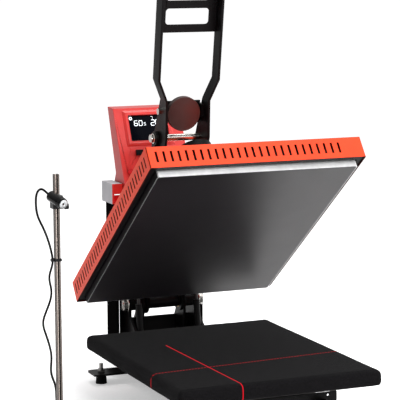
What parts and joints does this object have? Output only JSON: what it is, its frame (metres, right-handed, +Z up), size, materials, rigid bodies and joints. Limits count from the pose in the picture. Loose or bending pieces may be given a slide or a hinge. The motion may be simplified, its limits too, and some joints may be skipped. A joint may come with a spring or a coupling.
{
  "type": "heat press",
  "caption": "Clamshell heat press standing open: slotted red heater casing over a cloth-covered platen, tall handle with magnetic catch, sloping control box and laser post.",
  "frame": {"origin": "on the floor, right below the centre of the lower platen", "axes": "+X to the operator's right, +Y to the back, +Z up"},
  "size_m": [0.5948, 0.7018, 0.873],
  "materials": {
    "black_coat": "satin powder coat",
    "red_paint": "gloss powder coat",
    "bright_steel": "bright plated",
    "dark_steel": "turned, darkened",
    "aluminium": "satin",
    "nonstick": "satin non-stick sheet",
    "silicone": "matte",
    "fabric": "woven, matte",
    "rubber": "matte",
    "black_plastic": "matte",
    "display": "gloss",
    "red_plastic": "gloss",
    "grey_sheet": "satin",
    "bronze": "satin",
    "copper": "varnished winding",
    "insulation": "matte fibre",
    "cast_iron": "painted"
  },
  "bodies": {
    "base": {"base_channel": "black_coat", "front_panel": "black_coat", "foot_bars": "black_coat", "rubber_feet": "rubber", "foot_bolts": "bright_steel", "platen_rails": "black_coat", "lower_platen": "aluminium", "silicone_pad": "silicone", "platen_cover": "fabric", "hinge_plate_left": "black_coat", "hinge_plate_right": "black_coat", "hinge_bracket": "black_coat", "link_studs": "bright_steel", "hinge_shaft": "bright_steel", "hinge_nuts": "bright_steel", "hinge_spacers": "dark_steel", "column_left": "black_coat", "column_right": "black_coat", "base_bolts": "bright_steel", "control_box": "red_paint", "box_back": "black_coat", "display": "display", "power_box": "grey_sheet", "transformer": "cast_iron", "laser_post": "aluminium", "laser_clamp": "black_plastic", "laser_head": "black_plastic", "laser_lead": "rubber"},
    "carrier": {"carrier_arm_left": "black_coat", "carrier_arm_right": "black_coat", "hinge_bushes": "bronze", "bridge": "black_coat", "bridge_bolts": "bright_steel", "electromagnet": "cast_iron", "magnet_coil": "copper", "wheel_retainer": "dark_steel", "handle_pivot": "bright_steel", "spring_studs": "bright_steel"},
    "heater": {"heater_casing": "red_paint", "heating_plate": "aluminium", "nonstick_sheet": "nonstick", "heating_element": "dark_steel", "insulation": "insulation", "inner_frame": "black_coat", "mount_plate": "black_coat", "spindle": "bright_steel"},
    "pressure_wheel": {"pressure_wheel": "black_plastic"},
    "handle": {"handle_frame": "black_coat", "handle_grip": "rubber", "armature_disc": "dark_steel", "disc_bracket": "bright_steel", "handle_rod": "bright_steel", "rod_nuts": "bright_steel"},
    "links": {"links": "dark_steel"},
    "gas_tubes": {"gas_spring_tubes": "black_coat"},
    "gas_rods": {"gas_spring_rods": "bright_steel"},
    "lock_knob": {"lock_knob": "black_plastic"},
    "setting_button": {"setting_button": "black_plastic"},
    "red_button": {"red_button": "red_plastic"},
    "rocker": {"rocker_switch": "red_plastic"}
  },
  "joints": [
    {"name": "press_close", "type": "hinge", "parent": "base", "child": "carrier", "pos_m": [0, 0.345, 0.16], "axis": [1, 0, 0], "range_deg": [0, 37], "stiffness_Nm_per_rad": 60, "springref_deg": -85.94},
    {"name": "heater_lift", "type": "slide", "parent": "carrier", "child": "heater", "axis": [0, 0.6018, 0.7986], "range_m": [0, 0.01]},
    {"name": "pressure_turn", "type": "hinge", "parent": "carrier", "child": "pressure_wheel", "pos_m": [0, 0.11266, 0.43525], "axis": [0, 0.6018, 0.7986], "range_deg": [0, 721]},
    {"name": "handle_swing", "type": "hinge", "parent": "carrier", "child": "handle", "pos_m": [0, 0.26704, 0.4703], "axis": [1, 0, 0], "range_deg": [0, 44]},
    {"name": "link_swing", "type": "hinge", "parent": "base", "child": "links", "pos_m": [0, 0.35, 0.1991], "axis": [1, 0, 0], "range_deg": [0, 46]},
    {"name": "gas_tube_swing", "type": "hinge", "parent": "base", "child": "gas_tubes", "pos_m": [0, 0.302, 0.09], "axis": [1, 0, 0], "range_deg": [0, 18]},
    {"name": "gas_rod_slide", "type": "slide", "parent": "gas_tubes", "child": "gas_rods", "axis": [0, 0.1209, 0.9927], "range_m": [-0.03, 0]},
    {"name": "lock_knob_pull", "type": "slide", "parent": "base", "child": "lock_knob", "axis": [0, -1, 0], "range_m": [0, 0.008], "stiffness_N_per_m": 800},
    {"name": "setting_button_push", "type": "slide", "parent": "base", "child": "setting_button", "axis": [0, 0.9121, -0.4099], "range_m": [0, 0.002], "stiffness_N_per_m": 400},
    {"name": "red_button_push", "type": "slide", "parent": "base", "child": "red_button", "axis": [0, 0.9121, -0.4099], "range_m": [0, 0.002], "stiffness_N_per_m": 400},
    {"name": "rocker_tilt", "type": "hinge", "parent": "base", "child": "rocker", "pos_m": [-0.091, 0.364, 0.3805], "axis": [1, 0, 0], "range_deg": [-20, 0]}
  ],
  "couplings": [
    {"joint": "handle_swing", "follows": "press_close", "ratio": 1.1892},
    {"joint": "link_swing", "follows": "press_close", "ratio": 1.2381},
    {"joint": "gas_tube_swing", "follows": "press_close", "ratio": 0.4837},
    {"joint": "gas_rod_slide", "follows": "press_close", "m_per_rad": -0.04307},
    {"joint": "pressure_turn", "follows": "heater_lift", "rad_per_m": 1256.6}
  ]
}
